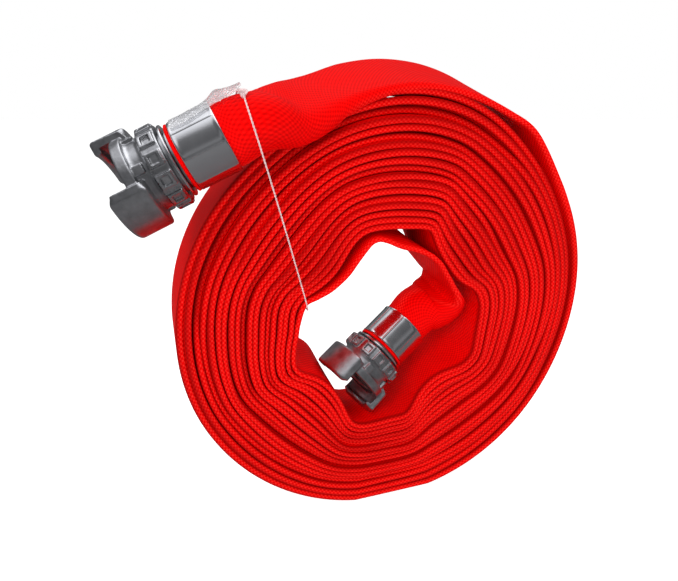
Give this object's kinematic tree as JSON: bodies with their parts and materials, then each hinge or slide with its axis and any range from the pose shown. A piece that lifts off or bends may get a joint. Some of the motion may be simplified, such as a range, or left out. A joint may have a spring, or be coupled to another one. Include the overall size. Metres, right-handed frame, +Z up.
{
  "type": "rolled fire hose",
  "caption": "Lay-flat red woven fire hose rolled up on its rim and tied with string, with a swivelling claw coupling on each end.",
  "frame": {"origin": "on the ground, at the middle of the flat that the standing roll rests on, under the middle of the roll", "axes": "+Z up; +Y along the roll's axis, away from the face that the couplings show on; the outer coupling hangs towards -X"},
  "size_m": [0.3745, 0.1039, 0.3581],
  "materials": {
    "woven_jacket": "matte",
    "hose_lining": "matte",
    "cast_aluminium": "satin",
    "polished_aluminium": "polished",
    "seal_rubber": "satin",
    "clear_string": "satin",
    "clear_film": "gloss"
  },
  "bodies": {
    "root": {"hose_roll": "woven_jacket", "outer_hose_end": "woven_jacket", "inner_hose_end": "woven_jacket", "outer_tail": "cast_aluminium", "outer_swivel_seal": "seal_rubber", "outer_retaining_clip": "polished_aluminium", "outer_ferrule": "polished_aluminium", "outer_lining": "hose_lining", "inner_tail": "cast_aluminium", "inner_swivel_seal": "seal_rubber", "inner_retaining_clip": "polished_aluminium", "inner_ferrule": "polished_aluminium", "inner_lining": "hose_lining", "tie_string": "clear_string", "tie_tape": "clear_film"},
    "outer_head": {"outer_claw_head": "cast_aluminium", "outer_face_seal": "seal_rubber", "outer_lock_ring": "cast_aluminium"},
    "inner_head": {"inner_claw_head": "cast_aluminium", "inner_face_seal": "seal_rubber", "inner_lock_ring": "cast_aluminium"}
  },
  "joints": [
    {"name": "outer_swivel", "type": "hinge", "parent": "root", "child": "outer_head", "pos_m": [-0.18182, -0.03481, 0.27864], "axis": [-0.8963, 0.115, -0.4282], "continuous": true},
    {"name": "inner_swivel", "type": "hinge", "parent": "root", "child": "inner_head", "pos_m": [-0.028, -0.0067, 0.10875], "axis": [-0.7936, -0.1679, -0.5847], "continuous": true}
  ]
}
